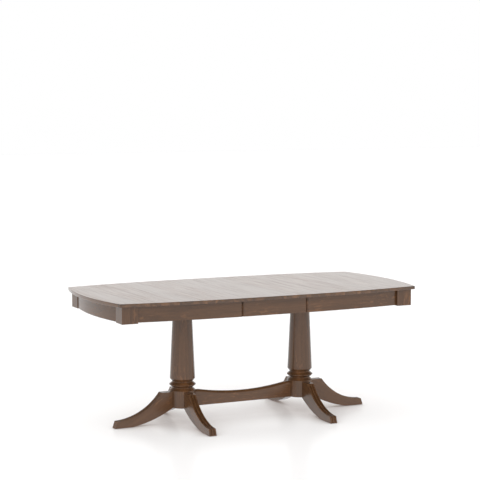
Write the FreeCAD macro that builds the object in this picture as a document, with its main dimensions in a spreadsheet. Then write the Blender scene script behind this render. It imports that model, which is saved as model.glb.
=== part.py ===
import FreeCAD, Part
import math
import operator
import os
import types

import Sketcher

# Extension dining table on two turned pedestals, with its leaf in place.
# Millimetres. The origin is on the floor under the middle of the table:
# +X runs along the table, -Y is the front and +Z is up.

SIZES = {
    # The top in three boards, seen from above
    "table_length": 1981.2,
    "table_width": 965.2,
    "table_height": 775.0,
    "top_thick": 19.0,
    "leaf_width": 406.4,
    "side_bow": 62.0,
    "end_bow": 56.6,
    "corner_round": 5.0,
    "edge_round": 3.0,
    "seam_gap": 0.3,
    "leaf_seat_gap": 0.3,
    # Aprons and corner posts
    "apron_height": 92.0,
    "apron_thick": 22.0,
    "side_overhang": 46.0,
    "end_overhang": 46.0,
    "seam_chamfer": 10.0,
    "post_width": 95.0,
    "post_height": 96.0,
    "post_inset_x": 17.0,
    "post_inset_y": 15.0,
    "wood_ease": 2.0,
    # Blocks behind the aprons, and dowels between aprons and posts
    "block_length": 60.0,
    "block_width": 30.0,
    "block_height": 30.0,
    "dowel_radius": 4.0,
    "dowel_length": 40.0,
    "dowel_inset": 25.0,
    # Turned columns
    "column_spacing": 772.0,
    "column_top_radius": 54.4,
    "shaft_foot_radius": 73.5,
    "shaft_chamfer": 17.0,
    "neck_radius": 60.0,
    "upper_neck": 2.0,
    "lower_neck": 2.0,
    "bead_height": 33.0,
    "bead_radius": 77.5,
    "bead_nose": 5.0,
    "bead_nose_swell": 1.2,
    "collar_height": 15.0,
    "drum_radius": 76.0,
    "drum_bottom": 92.0,
    "drum_height": 100.0,
    "drum_pocket": 60.0,
    "drum_pocket_depth": 84.0,
    # Sabre legs
    "leg_thick": 43.5,
    "leg_seat_depth": 4.5,
    "leg_fit": 0.1,
    "ledge_drop": 6.0,
    "ledge_reach": 142.0,
    "toe_reach": 430.0,
    "toe_slant": 13.0,
    "toe_height": 41.0,
    "toe_round": 4.0,
    "foot_length": 109.0,
    "leg_top_hollow": 36.2,
    "leg_low_swell": 13.5,
    "reed_groove_width": 7.0,
    "reed_groove_depth": 4.2,
    "reed_round": 2.6,
    "glide_radius": 11.0,
    "glide_height": 7.0,
    "glide_stand": 2.0,
    # Stretcher between the pedestals
    "stretcher_thick": 40.0,
    "stretcher_flat": 28.6,
    "stretcher_dip": 27.4,
    "stretcher_blend": 80.0,
    "stretcher_round": 16.0,
    # Bolts that hold legs and stretcher to the drums
    "bolt_radius": 4.0,
    "bolt_low_rise": 24.0,
    "bolt_spacing": 44.0,
    "bolt_grip": 45.0,
    "bolt_end": 3.0,
    "nut_flat": 6.5,
    "nut_height": 6.5,
    "washer_radius": 8.0,
    "washer_thick": 1.6,
    # Plates on the columns, and the slides that carry the top
    "plate_length": 160.0,
    "plate_margin": 54.0,
    "plate_thick": 22.0,
    "plate_screw_offset": 26.0,
    "plate_screw_length": 75.0,
    "rail_offset": 170.0,
    "rail_length": 1200.0,
    "rail_height": 40.0,
    "rail_top_gap": 4.0,
    "rail_screw_offset": 45.0,
    "rail_screw_bite": 22.0,
    "groove_height": 10.0,
    "groove_depth": 8.0,
    "slide_gap": 0.5,
    "tongue_gap": 0.3,
    "runner_width": 24.0,
    "runner_foot_gap": 4.0,
    "runner_reach": 700.0,
    "runner_lap": 100.0,
    "runner_screw_recess": 12.0,
    "runner_screw_inset": 40.0,
    "stop_length": 20.0,
    "opening_travel": 45.0,
    # Rack and pinion that moves both halves alike
    "gear_module": 2.5,
    "gear_thick": 8.0,
    "gear_backlash": 0.4,
    "gear_float": 0.3,
    "gear_room": 1.0,
    "rack_back": 5.0,
    "rack_clear": 2.0,
    "pin_radius": 4.0,
    "pin_fit": 0.05,
    "pin_floor": 3.0,
    "pin_head_radius": 7.0,
    "pin_head_height": 2.5,
    "pin_head_room": 3.9,
    # Pins that line the leaf up with the halves
    "leaf_pin_radius": 4.0,
    "leaf_pin_reach": 10.0,
    "leaf_pin_depth": 25.0,
    "leaf_pin_far": 300.0,
    "leaf_pin_near": 100.0,
    "leaf_pin_room": 0.4,
    # Wood screws
    "screw_radius": 2.25,
    "screw_head_radius": 4.5,
    "screw_head_height": 2.8,
    "screw_bite": 12.0,
    "bore_gap": 0.1,
    "cut_overrun": 1.0,
}

# Counts, and the shape of teeth
PINION_TEETH = 16
PRESSURE_ANGLE = math.radians(20)
ADDENDUM_SHARE = 0.8
DEDENDUM_SHARE = 1.0
FLANK_STEPS = 4
RUNNER_SCREWS = 3
NUT_SIDES = 6

# Places as shares of the piece that carries them
BLOCK_SHARES = (0.22, 0.72)
END_BLOCK_SHARES = (-0.5, 0.5)
LEAF_BLOCK_SHARES = (-0.5, 0.5)
GROOVE_SHARE = 1 / 6
# How little an edge may lean, as a share of its height, and still stand upright
STRAIGHT_SHARE = 0.001

X_AXIS = FreeCAD.Vector(1, 0, 0)
Y_AXIS = FreeCAD.Vector(0, 1, 0)
Z_AXIS = FreeCAD.Vector(0, 0, 1)
SIDES = {"left": -1, "right": 1}
FACES = {"front": -1, "back": 1}
SIGNS = (-1, 1)

doc = FreeCAD.newDocument("dining_table")
nodes = {}


class Size:
    """A length with its number and the sheet expression that gives it."""

    def __init__(self, number, text):
        self.number = number
        self.text = text

    def __add__(self, other):
        return combine(self, "+", other)

    def __radd__(self, other):
        return combine(other, "+", self)

    def __sub__(self, other):
        return combine(self, "-", other)

    def __rsub__(self, other):
        return combine(other, "-", self)

    def __mul__(self, other):
        return combine(self, "*", other)

    def __rmul__(self, other):
        return combine(other, "*", self)

    def __truediv__(self, other):
        return combine(self, "/", other)

    def __neg__(self):
        return combine(-1, "*", self)

    def __float__(self):
        return float(self.number)


SUMS = {"+": operator.add, "-": operator.sub, "*": operator.mul, "/": operator.truediv}


def as_size(value):
    """A plain number as a size."""
    return value if isinstance(value, Size) else Size(value, repr(value))


def combine(first, sign, second):
    """Two sizes joined by one sum, in number and in words."""
    first = as_size(first)
    second = as_size(second)
    number = SUMS[sign](first.number, second.number)
    return Size(number, f"({first.text} {sign} {second.text})")


def root(size):
    """The square root of a size."""
    return Size(math.sqrt(size.number), f"sqrt({size.text})")


def arc_radius(run, rise, swell):
    """The radius of an arc over a chord, given along and up, that swells so far from it."""
    return (run * run + rise * rise) / (8 * swell) + swell / 2


def make_sheet():
    """Fill the sheet with the driving sizes and hand them back by name."""
    sheet = doc.addObject("Spreadsheet::Sheet", "sizes")
    for row, (alias, number) in enumerate(SIZES.items(), start=1):
        sheet.set(f"A{row}", alias)
        sheet.set(f"B{row}", str(number))
        sheet.setAlias(f"B{row}", alias)
    doc.recompute()
    return types.SimpleNamespace(
        **{alias: Size(float(sheet.get(alias)), f"sizes.{alias}") for alias in SIZES}
    )


s = make_sheet()

# Heights
underside = s.table_height - s.top_thick
leaf_underside = underside + s.leaf_seat_gap
apron_bottom = underside - s.apron_height
rail_bottom = underside - s.rail_top_gap - s.rail_height
column_top = rail_bottom - s.plate_thick
drum_top = s.drum_bottom + s.drum_height
bead_bottom = drum_top + s.collar_height + s.lower_neck
bead_top = bead_bottom + s.bead_height
nose_bottom = (bead_bottom + bead_top - s.bead_nose) / 2
nose_top = nose_bottom + s.bead_nose
shaft_foot = bead_top + s.upper_neck + s.shaft_chamfer
ledge_height = drum_top - s.ledge_drop

# The plan of the top: side arcs start level at the leaf, end arcs join the corners
half_length = s.table_length / 2
half_width = s.table_width / 2
leaf_half = s.leaf_width / 2
seam = leaf_half + s.seam_gap
corner_x = half_length - s.end_bow
corner_y = half_width - s.side_bow
side_run = corner_x - seam
side_radius = arc_radius(2 * side_run, 0, s.side_bow)
end_radius = arc_radius(2 * corner_y, 0, s.end_bow)
side_centre = half_width - side_radius
end_centre = half_length - end_radius

# Corner posts, with the aprons running between them
post_outer_x = corner_x - s.post_inset_x
post_outer_y = corner_y - s.post_inset_y
post_inner_x = post_outer_x - s.post_width
post_inner_y = post_outer_y - s.post_width
side_outer = side_radius - s.side_overhang
side_inner = side_outer - s.apron_thick
end_outer = end_radius - s.end_overhang
end_inner = end_outer - s.apron_thick
leaf_apron_outer = half_width - s.side_overhang
leaf_apron_inner = leaf_apron_outer - s.apron_thick

# Pedestals
axis_x = s.column_spacing / 2
leg_seat = s.drum_radius - s.leg_seat_depth
toe_top_reach = s.toe_reach - s.toe_slant
foot_flat_reach = s.toe_reach - s.foot_length
leg_top_radius = arc_radius(toe_top_reach - s.ledge_reach, ledge_height - s.toe_height, s.leg_top_hollow)
leg_low_radius = arc_radius(foot_flat_reach - leg_seat, s.drum_bottom - s.glide_stand, s.leg_low_swell)

# Bolts, from inside the drums out into the legs and the stretcher
low_bolt = s.drum_bottom + s.bolt_low_rise
bolt_heights = (low_bolt, low_bolt + s.bolt_spacing)
washer_start = s.drum_pocket / 2 - s.washer_thick
nut_start = washer_start - s.nut_height
bolt_start = nut_start - s.bolt_end
bolt_length = leg_seat + s.bolt_grip - bolt_start

# Rack and pinion
pitch_radius = s.gear_module * PINION_TEETH / 2
tooth_pitch = math.pi * s.gear_module
addendum = ADDENDUM_SHARE * s.gear_module
dedendum = DEDENDUM_SHARE * s.gear_module
tip_radius = pitch_radius + addendum
pinion_room = 2 * s.gear_float + s.gear_thick + s.pin_head_height + s.pin_head_room
pinion_rise = s.rail_height - pinion_room
pinion_floor = rail_bottom + pinion_rise
gear_low = pinion_floor + s.gear_float
pin_head_low = gear_low + s.gear_thick + s.gear_float
rack_face = pitch_radius + dedendum
rack_depth = rack_face + s.rack_back
rack_need = leaf_half + s.opening_travel + 2 * tip_radius
RACK_TEETH = math.ceil(float(rack_need / tooth_pitch))
rack_length = RACK_TEETH * tooth_pitch
rack_middle = (leaf_half - s.opening_travel) / 2

# Slides: each rail has one half's runner on its front side and the other's on its back side
rail_half = pitch_radius - addendum - s.rack_clear
rail_width = 2 * rail_half
plate_width = 2 * (s.rail_offset + rail_half + s.plate_margin)
runner_near = rail_half + s.slide_gap
runner_far = runner_near + s.runner_width
runner_height = s.rail_height + s.rail_top_gap - s.runner_foot_gap
runner_screw_length = runner_height + s.screw_bite - s.runner_screw_recess
tongue_tip = rail_half - s.groove_depth + s.slide_gap
groove_low = rail_bottom + (pinion_rise - s.groove_height) / 2
tongue_low = groove_low + s.tongue_gap
tongue_height = s.groove_height - 2 * s.tongue_gap
stop_face = s.rail_length / 2 - s.stop_length
tongue_outer = stop_face - s.tongue_gap - s.opening_travel

# Leaf pins
leaf_pin_height = underside + s.top_thick / 2


def vector(x, y, z):
    """A point or a direction from sizes or plain numbers."""
    return FreeCAD.Vector(float(x), float(y), float(z))


def node(label, thing):
    """Name a finished sub-part after the file it is written to."""
    thing.Label = label
    nodes[label] = thing
    return thing


def bind(thing, **sizes):
    """Tie properties to the sheet."""
    for name, size in sizes.items():
        thing.setExpression(name, as_size(size).text)


def place(thing, x=0, y=0, z=0, turn=0):
    """Turn a sub-part about the upright and tie its place to the sheet."""
    thing.Placement = FreeCAD.Placement(vector(x, y, z), FreeCAD.Rotation(Z_AXIS, turn))
    for letter, size in zip("xyz", (x, y, z)):
        thing.setExpression(f"Placement.Base.{letter}", as_size(size).text)


def make_body(name):
    """A fresh body for one board or turning."""
    return doc.addObject("PartDesign::Body", name)


def origin_plane(body, role):
    """One of the body's own planes."""
    return next(item for item in body.Origin.OriginFeatures if item.Role == role)


def arc_between(start, stop, radius, turn):
    """An arc under half a circle; turn is 1 where its centre is on the left of the way, else -1."""
    chord = stop - start
    rise = math.sqrt(radius * radius - (chord.Length / 2) ** 2)
    left = FreeCAD.Vector(-chord.y, chord.x, 0).normalize()
    centre = (start + stop) / 2 + left * turn * rise
    first, last = (start, stop) if turn > 0 else (stop, start)
    angles = [math.atan2(point.y - centre.y, point.x - centre.x) for point in (first, last)]
    return Part.ArcOfCircle(Part.Circle(centre, Z_AXIS, radius), *angles)


def pin_corner(sketch, side, end, corner):
    """Tie one corner of an outline to the sheet."""
    for kind, size, axis in (("DistanceX", corner[0], -2), ("DistanceY", corner[1], -1)):
        size = as_size(size)
        if size.number == 0:
            sketch.addConstraint(Sketcher.Constraint("PointOnObject", side, end, axis))
            continue
        away = size if size.number > 0 else -size
        ends = (-1, 1, side, end) if size.number > 0 else (side, end, -1, 1)
        index = sketch.addConstraint(Sketcher.Constraint(kind, *ends, away.number))
        sketch.setExpression(f"Constraints[{index}]", away.text)


def outline(body, role, corners, arcs=None, lift=0):
    """A closed outline on one of the body's planes; arcs gives the radius and turn of a side."""
    arcs = arcs or {}
    sketch = body.newObject("Sketcher::SketchObject", f"{body.Name}_outline")
    sketch.AttachmentSupport = [(origin_plane(body, role), "")]
    sketch.MapMode = "FlatFace"
    sketch.setExpression("AttachmentOffset.Base.z", as_size(lift).text)
    points = [vector(x, y, 0) for x, y in corners]
    ends = []
    for side, start in enumerate(points):
        stop = points[(side + 1) % len(points)]
        if side in arcs:
            radius, turn = arcs[side]
            sketch.addGeometry(arc_between(start, stop, float(radius), turn))
            index = sketch.addConstraint(Sketcher.Constraint("Radius", side, float(radius)))
            sketch.setExpression(f"Constraints[{index}]", radius.text)
            ends.append((1, 2) if turn > 0 else (2, 1))
        else:
            sketch.addGeometry(Part.LineSegment(start, stop))
            ends.append((1, 2))
    for side, (first, last) in enumerate(ends):
        after = (side + 1) % len(points)
        sketch.addConstraint(Sketcher.Constraint("Coincident", side, last, after, ends[after][0]))
        pin_corner(sketch, side, first, corners[side])
    return sketch


def pad(body, sketch, length, both_ways=False):
    """Give an outline its thickness, upwards or to both sides of its plane."""
    feature = body.newObject("PartDesign::Pad", f"{body.Name}_pad")
    feature.Profile = sketch
    feature.SideType = "Symmetric" if both_ways else "One side"
    bind(feature, Length=length)
    doc.recompute()
    return feature


def pocket(body, sketch, length):
    """Cut an outline away to both sides of its plane."""
    before = body.Shape.Volume
    feature = body.newObject("PartDesign::Pocket", f"{body.Name}_pocket")
    feature.Profile = sketch
    feature.SideType = "Symmetric"
    bind(feature, Length=length)
    doc.recompute()
    if body.Shape.Volume >= before:
        raise RuntimeError(f"{body.Name}: a pocket cut nothing")
    return feature


def fillet(body, feature, radius, wanted):
    """Round the edges of a feature that the test picks out."""
    names = [f"Edge{n}" for n, edge in enumerate(feature.Shape.Edges, start=1) if wanted(edge)]
    rounded = body.newObject("PartDesign::Fillet", f"{body.Name}_round")
    rounded.Base = (feature, names)
    bind(rounded, Radius=radius)
    doc.recompute()
    return rounded


def near(first, second):
    """Whether two lengths are the same, within the least gap."""
    return abs(float(first) - float(second)) < float(s.bore_gap)


def upright(edge):
    """Whether an edge stands upright."""
    return edge.BoundBox.XLength + edge.BoundBox.YLength < STRAIGHT_SHARE * edge.BoundBox.ZLength


def lengthwise_at(edge, height):
    """Whether an edge runs along the table, with its highest point at a height."""
    return near(edge.BoundBox.YLength, 0) and near(edge.BoundBox.ZMax, height) and not upright(edge)


def level_at(edge, height):
    """Whether an edge lies level at a height."""
    return near(edge.BoundBox.ZMin, height) and near(edge.BoundBox.ZMax, height)


def box(length, width, height, x, y, z):
    """A plain block by its lowest corner."""
    return Part.makeBox(float(length), float(width), float(height), vector(x, y, z))


def centred_box(length, width, height, x, y, z):
    """A plain block by the middle of its underside."""
    return box(length, width, height, x - length / 2, y - width / 2, z)


def rod(radius, length, x, y, z, way):
    """A round bar from a point along a direction."""
    return Part.makeCylinder(float(radius), float(length), vector(x, y, z), way)


def wood_screw(length, x, y, z, way, slack=0):
    """A countersunk screw with its head's face at a point, driven along a direction."""
    head_radius = s.screw_head_radius + slack
    shank_radius = s.screw_radius + slack
    start = vector(x, y, z)
    head = Part.makeCone(float(head_radius), float(shank_radius), float(s.screw_head_height), start, way)
    return head.fuse(Part.makeCylinder(float(shank_radius), float(length + slack), start, way))


def group(label, shapes):
    """Several like pieces, each a solid of its own, in one node."""
    thing = doc.addObject("Part::Feature", label)
    thing.Shape = Part.makeCompound(shapes)
    return node(label, thing)


def bored(label, blank, shapes):
    """A blank with holes and seats cut into it."""
    tool = doc.addObject("Part::Feature", f"{label}_bores")
    tool.Shape = Part.makeCompound(shapes)
    cut = doc.addObject("Part::Cut", label)
    cut.Base = blank
    cut.Tool = tool
    return node(label, cut)


def beyond_side(x, radius):
    """How far out a side arc of some radius lies at a place along the table."""
    away = x - seam
    return side_centre + root(radius * radius - away * away)


def beyond_end(y, radius):
    """How far out an end arc of some radius lies at a place across the table."""
    return end_centre + root(radius * radius - y * y)


def pin_places(way):
    """Where one half's leaf pins stand across the table."""
    return (way * s.leaf_pin_far, -way * s.leaf_pin_near)


def leaf_pins(way, slack=0):
    """One half's leaf pins, from inside its board to inside the leaf."""
    length = s.leaf_pin_depth + s.leaf_pin_reach + s.seam_gap
    inner = leaf_half - s.leaf_pin_reach
    return [
        rod(s.leaf_pin_radius + slack, length + slack, way * inner, y, leaf_pin_height, X_AXIS * way)
        for y in pin_places(way)
    ]


def leaf_pin_slots(edge, way, places):
    """Slots, open below, that a board drops over the other board's pins with."""
    width = 2 * (s.leaf_pin_radius + s.leaf_pin_room)
    depth = s.leaf_pin_reach + s.leaf_pin_room
    height = leaf_pin_height + width / 2 - underside + s.cut_overrun
    middle = edge + way * (depth - s.cut_overrun) / 2
    return [
        centred_box(depth + s.cut_overrun, width, height, middle, y, underside - s.cut_overrun)
        for y in places
    ]


def runner_screw_places(way):
    """Where the screws of one runner stand along the table."""
    first = rack_middle + rack_length / 2 + s.runner_screw_inset
    step = (s.runner_reach - s.runner_screw_inset - first) / (RUNNER_SCREWS - 1)
    return [way * (first + n * step) for n in range(RUNNER_SCREWS)]


def runner_middle(face, way):
    """The middle line of one half's runner beside the front or back rail."""
    return FACES[face] * s.rail_offset + way * (runner_near + runner_far) / 2


def runner_screws(way, slack=0):
    """Screws up through one half's runners into its board."""
    start = underside - runner_height + s.runner_screw_recess
    return [
        wood_screw(runner_screw_length, x, runner_middle(face, way), start, Z_AXIS, slack)
        for face in FACES
        for x in runner_screw_places(way)
    ]


def side_block_places(way):
    """Where one half's glue blocks stand along its side aprons."""
    run = post_inner_x - seam
    return [way * (seam + run * share) for share in BLOCK_SHARES]


def side_blocks(way):
    """Glue blocks behind one half's side aprons, shaped to their inner faces."""
    blocks = []
    low = underside - s.block_height
    for face in FACES.values():
        disc = rod(side_inner, s.block_height, way * seam, face * side_centre, low, Z_AXIS)
        for x in side_block_places(way):
            outer = beyond_side(way * x, side_inner)
            blank = centred_box(s.block_length, 2 * s.block_width, s.block_height, x, face * outer, low)
            blocks.append(blank.common(disc))
    return blocks


def end_block_places():
    """Where the glue blocks stand across an end apron."""
    return [post_inner_y * share for share in END_BLOCK_SHARES]


def end_blocks(way):
    """Glue blocks behind one end apron, shaped to its inner face."""
    blocks = []
    low = underside - s.block_height
    disc = rod(end_inner, s.block_height, way * end_centre, 0, low, Z_AXIS)
    for y in end_block_places():
        outer = way * beyond_end(y, end_inner)
        blank = centred_box(2 * s.block_width, s.block_length, s.block_height, outer, y, low)
        blocks.append(blank.common(disc))
    return blocks


def leaf_block_places():
    """Where the leaf's glue blocks stand along its aprons."""
    return [leaf_half * share for share in LEAF_BLOCK_SHARES]


def leaf_blocks():
    """Glue blocks behind the leaf's two aprons."""
    middle = leaf_apron_inner - s.block_width / 2
    low = leaf_underside - s.block_height
    return [
        centred_box(s.block_length, s.block_width, s.block_height, x, face * middle, low)
        for face in FACES.values()
        for x in leaf_block_places()
    ]


def block_screws(x, y, out, low, slack=0):
    """One block's two screws, up into the board and out into the apron; its apron face is at a point."""
    back = s.block_width / 2
    along = s.block_length / 4
    across = vector(-out.y, out.x, 0)
    up_x = x - out.x * back + across.x * along
    up_y = y - out.y * back + across.y * along
    out_x = x - out.x * s.block_width - across.x * along
    out_y = y - out.y * s.block_width - across.y * along
    level = low + s.block_height / 2
    return [
        wood_screw(s.block_height + s.screw_bite, up_x, up_y, low, Z_AXIS, slack),
        wood_screw(s.block_width + s.screw_bite, out_x, out_y, level, out, slack),
    ]


def half_block_screws(way, slack=0):
    """The screws of all of one half's glue blocks."""
    low = underside - s.block_height
    screws = []
    for face in FACES.values():
        for x in side_block_places(way):
            y = face * beyond_side(way * x, side_inner)
            screws += block_screws(x, y, Y_AXIS * face, low, slack)
    for y in end_block_places():
        x = way * beyond_end(y, end_inner)
        screws += block_screws(x, y, X_AXIS * way, low, slack)
    return screws


def leaf_block_screws(slack=0):
    """The screws of the leaf's glue blocks."""
    low = leaf_underside - s.block_height
    screws = []
    for face in FACES.values():
        for x in leaf_block_places():
            screws += block_screws(x, face * leaf_apron_inner, Y_AXIS * face, low, slack)
    return screws


def half_dowels(way, slack=0):
    """Dowels that join one half's three aprons to its two posts."""
    side_y = (beyond_side(post_inner_x, side_outer) + beyond_side(post_inner_x, side_inner)) / 2
    end_x = (beyond_end(post_inner_y, end_outer) + beyond_end(post_inner_y, end_inner)) / 2
    start_x = post_inner_x - s.dowel_length / 2 - slack
    start_y = post_inner_y - s.dowel_length / 2 - slack
    length = s.dowel_length + 2 * slack
    radius = s.dowel_radius + slack
    dowels = []
    for face in FACES.values():
        for z in (apron_bottom + s.dowel_inset, underside - s.dowel_inset):
            dowels.append(rod(radius, length, way * start_x, face * side_y, z, X_AXIS * way))
            dowels.append(rod(radius, length, way * end_x, face * start_y, z, Y_AXIS * face))
    return dowels


def bent_foot(edge, radius):
    """Whether an edge is the lower edge of an apron's bent outer face."""
    return level_at(edge, 0) and near(getattr(edge.Curve, "Radius", 0), radius)


def make_half_top(name, way):
    """One half of the top: straight seam, drawn-in long sides and a bowed end."""
    body = make_body(f"{name}_top_blank")
    corners = [
        (way * seam, -half_width),
        (way * corner_x, -corner_y),
        (way * corner_x, corner_y),
        (way * seam, half_width),
    ]
    arcs = {0: (side_radius, way), 1: (end_radius, way), 2: (side_radius, way)}
    board = pad(body, outline(body, "XY_Plane", corners, arcs), s.top_thick)
    middle = abs(float(corner_x + seam)) / 2
    board = fillet(
        body, board, s.corner_round, lambda edge: upright(edge) and abs(edge.BoundBox.XMin) > middle
    )

    def rim(edge):
        at_seam = edge.BoundBox.XLength < float(s.edge_round) and abs(edge.BoundBox.XMin) < middle
        return not at_seam and (level_at(edge, 0) or level_at(edge, s.top_thick))

    fillet(body, board, s.edge_round, rim)
    place(body, z=underside)
    cuts = leaf_pins(way, s.bore_gap)
    cuts += leaf_pin_slots(way * seam, way, pin_places(-way))
    cuts += runner_screws(way, s.bore_gap) + half_block_screws(way, s.bore_gap)
    return bored(f"{name}_top", body, cuts)


def make_side_apron(name, way, face):
    """A side apron of one half: bent like the edge above it, chamfered at the seam."""
    body = make_body(f"{name}_{face}_apron_blank")
    sign = FACES[face]
    chamfered = seam + s.seam_chamfer
    corners = [
        (way * seam, sign * (beyond_side(seam, side_outer) - s.seam_chamfer)),
        (way * chamfered, sign * beyond_side(chamfered, side_outer)),
        (way * post_inner_x, sign * beyond_side(post_inner_x, side_outer)),
        (way * post_inner_x, sign * beyond_side(post_inner_x, side_inner)),
        (way * seam, sign * beyond_side(seam, side_inner)),
    ]
    turn = -way * sign
    arcs = {1: (side_outer, turn), 3: (side_inner, -turn)}
    board = pad(body, outline(body, "XY_Plane", corners, arcs), s.apron_height)
    fillet(body, board, s.wood_ease, lambda edge: bent_foot(edge, side_outer))
    place(body, z=apron_bottom)
    cuts = half_dowels(way, s.bore_gap) + half_block_screws(way, s.bore_gap)
    return bored(f"{name}_{face}_apron", body, cuts)


def make_end_apron(name, way):
    """The bowed apron across one end."""
    body = make_body(f"{name}_end_apron_blank")
    outer = way * beyond_end(post_inner_y, end_outer)
    inner = way * beyond_end(post_inner_y, end_inner)
    corners = [
        (outer, -post_inner_y),
        (outer, post_inner_y),
        (inner, post_inner_y),
        (inner, -post_inner_y),
    ]
    arcs = {0: (end_outer, way), 2: (end_inner, -way)}
    board = pad(body, outline(body, "XY_Plane", corners, arcs), s.apron_height)
    fillet(body, board, s.wood_ease, lambda edge: bent_foot(edge, end_outer))
    place(body, z=apron_bottom)
    cuts = half_dowels(way, s.bore_gap) + half_block_screws(way, s.bore_gap)
    return bored(f"{name}_end_apron", body, cuts)


def make_post(name, way, face):
    """A square corner post that stands proud of the aprons."""
    body = make_body(f"{name}_{face}_post_blank")
    half = s.post_width / 2
    corners = [(-half, -half), (half, -half), (half, half), (-half, half)]
    block = pad(body, outline(body, "XY_Plane", corners), s.post_height)
    fillet(body, block, s.wood_ease, lambda edge: upright(edge) or level_at(edge, 0))
    place(
        body,
        x=way * (post_outer_x - half),
        y=FACES[face] * (post_outer_y - half),
        z=underside - s.post_height,
    )
    return bored(f"{name}_{face}_post", body, half_dowels(way, s.bore_gap))


def runner_lines(face, way):
    """The lowest corner along Y of a runner and of its tongue, beside the front or back rail."""
    rail = FACES[face] * s.rail_offset
    if way > 0:
        return rail + runner_near, rail + tongue_tip
    return rail - runner_far, rail - runner_near


def along(way, inner, outer):
    """The lower end of a stretch that runs from an inner to an outer place on one side."""
    return inner if way > 0 else -outer


def rack_seat(face, way, slack=0):
    """The groove in a runner that holds its rack."""
    rail = FACES[face] * s.rail_offset
    depth = rack_depth - runner_near + s.cut_overrun
    low_y = rail + runner_near - s.cut_overrun if way > 0 else rail - rack_depth
    low_x = way * rack_middle - rack_length / 2 - slack
    return box(rack_length + 2 * slack, depth, s.gear_thick, low_x, low_y, gear_low)


def make_runner(name, way, face):
    """A runner under one half, with a tongue in the rail's groove and a lap past the middle."""
    label = f"{name}_{face}_runner"
    runner_y, tongue_y = runner_lines(face, way)
    bar = doc.addObject("Part::Box", f"{label}_bar")
    bind(bar, Length=s.runner_reach + s.runner_lap, Width=s.runner_width, Height=runner_height)
    place(bar, x=along(way, -s.runner_lap, s.runner_reach), y=runner_y, z=underside - runner_height)
    tongue = doc.addObject("Part::Box", f"{label}_tongue")
    bind(tongue, Length=tongue_outer + s.runner_lap, Width=runner_near - tongue_tip, Height=tongue_height)
    place(tongue, x=along(way, -s.runner_lap, tongue_outer), y=tongue_y, z=tongue_low)
    blank = doc.addObject("Part::Fuse", f"{label}_blank")
    blank.Base = bar
    blank.Tool = tongue
    low = underside - runner_height
    counterbore = s.screw_head_radius + s.bore_gap
    cuts = runner_screws(way, s.bore_gap) + [rack_seat(face, way, s.bore_gap)]
    cuts += [
        rod(counterbore, s.runner_screw_recess, x, runner_middle(face, way), low, Z_AXIS)
        for x in runner_screw_places(way)
    ]
    return bored(label, blank, cuts)


def flank_points(thickness):
    """Half of one gear tooth: radius and half angle from its root to its tip."""
    base_radius = float(pitch_radius) * math.cos(PRESSURE_ANGLE)
    root_radius = float(pitch_radius - dedendum)
    involute = math.tan(PRESSURE_ANGLE) - PRESSURE_ANGLE
    half_angle = thickness / float(pitch_radius) / 2
    points = [(root_radius, half_angle + involute)]
    for step in range(FLANK_STEPS + 1):
        radius = base_radius + (float(tip_radius) - base_radius) * step / FLANK_STEPS
        slope = math.acos(base_radius / radius)
        points.append((radius, half_angle + involute - (math.tan(slope) - slope)))
    return points


def make_pinion(face):
    """The pinion between the two racks of one slide, with a tooth towards each rack."""
    flank = flank_points(float(tooth_pitch / 2 - s.gear_backlash))
    corners = []
    for tooth in range(PINION_TEETH):
        middle = 2 * math.pi * tooth / PINION_TEETH + math.pi / 2
        rising = [(radius, middle - angle) for radius, angle in flank]
        falling = [(radius, middle + angle) for radius, angle in reversed(flank)]
        corners += rising + falling
    points = [vector(r * math.cos(a), r * math.sin(a), 0) for r, a in corners]
    blank = Part.Face(Part.makePolygon(points + points[:1])).extrude(vector(0, 0, s.gear_thick))
    bore = rod(s.pin_radius + s.pin_fit, s.gear_thick, 0, 0, 0, Z_AXIS)
    pinion = doc.addObject("Part::Feature", f"{face}_pinion")
    pinion.Shape = blank.cut(bore)
    place(pinion, y=FACES[face] * s.rail_offset, z=gear_low)
    return node(f"{face}_pinion", pinion)


def make_rack(name, way, face):
    """The toothed strip in one runner, with a gap between teeth at the pinion's middle."""
    tip = pitch_radius - addendum
    slope = math.tan(PRESSURE_ANGLE)
    half_tooth = float(tooth_pitch) / 4
    root_half = half_tooth + float(dedendum) * slope
    tip_half = half_tooth - float(addendum) * slope
    start = float(way * rack_middle - rack_length / 2)
    first = math.ceil(start / float(tooth_pitch)) + 0.5
    profile = [(start, float(rack_face))]
    for tooth in range(RACK_TEETH):
        middle = (first + tooth) * float(tooth_pitch)
        if middle + root_half > start + float(rack_length):
            break
        profile.append((middle - root_half, float(rack_face)))
        profile.append((middle - tip_half, float(tip)))
        profile.append((middle + tip_half, float(tip)))
        profile.append((middle + root_half, float(rack_face)))
    profile.append((start + float(rack_length), float(rack_face)))
    profile.append((start + float(rack_length), float(rack_depth)))
    profile.append((start, float(rack_depth)))
    points = [vector(x, way * y, 0) for x, y in profile]
    rack = doc.addObject("Part::Feature", f"{name}_{face}_rack")
    rack.Shape = Part.Face(Part.makePolygon(points + points[:1])).extrude(vector(0, 0, s.gear_thick))
    place(rack, y=FACES[face] * s.rail_offset, z=gear_low)
    return node(f"{name}_{face}_rack", rack)


def make_half(name, way):
    """Everything that slides with one half of the top."""
    make_half_top(name, way)
    make_end_apron(name, way)
    for face in FACES:
        make_side_apron(name, way, face)
        make_post(name, way, face)
        make_runner(name, way, face)
        make_rack(name, way, face)
    group(f"{name}_apron_dowels", half_dowels(way))
    blanks = Part.makeCompound(side_blocks(way) + end_blocks(way))
    holes = Part.makeCompound(half_block_screws(way, s.bore_gap))
    group(f"{name}_glue_blocks", blanks.cut(holes).Solids)
    group(f"{name}_block_screws", half_block_screws(way))
    group(f"{name}_runner_screws", runner_screws(way))
    group(f"{name}_leaf_pins", leaf_pins(way))


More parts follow.
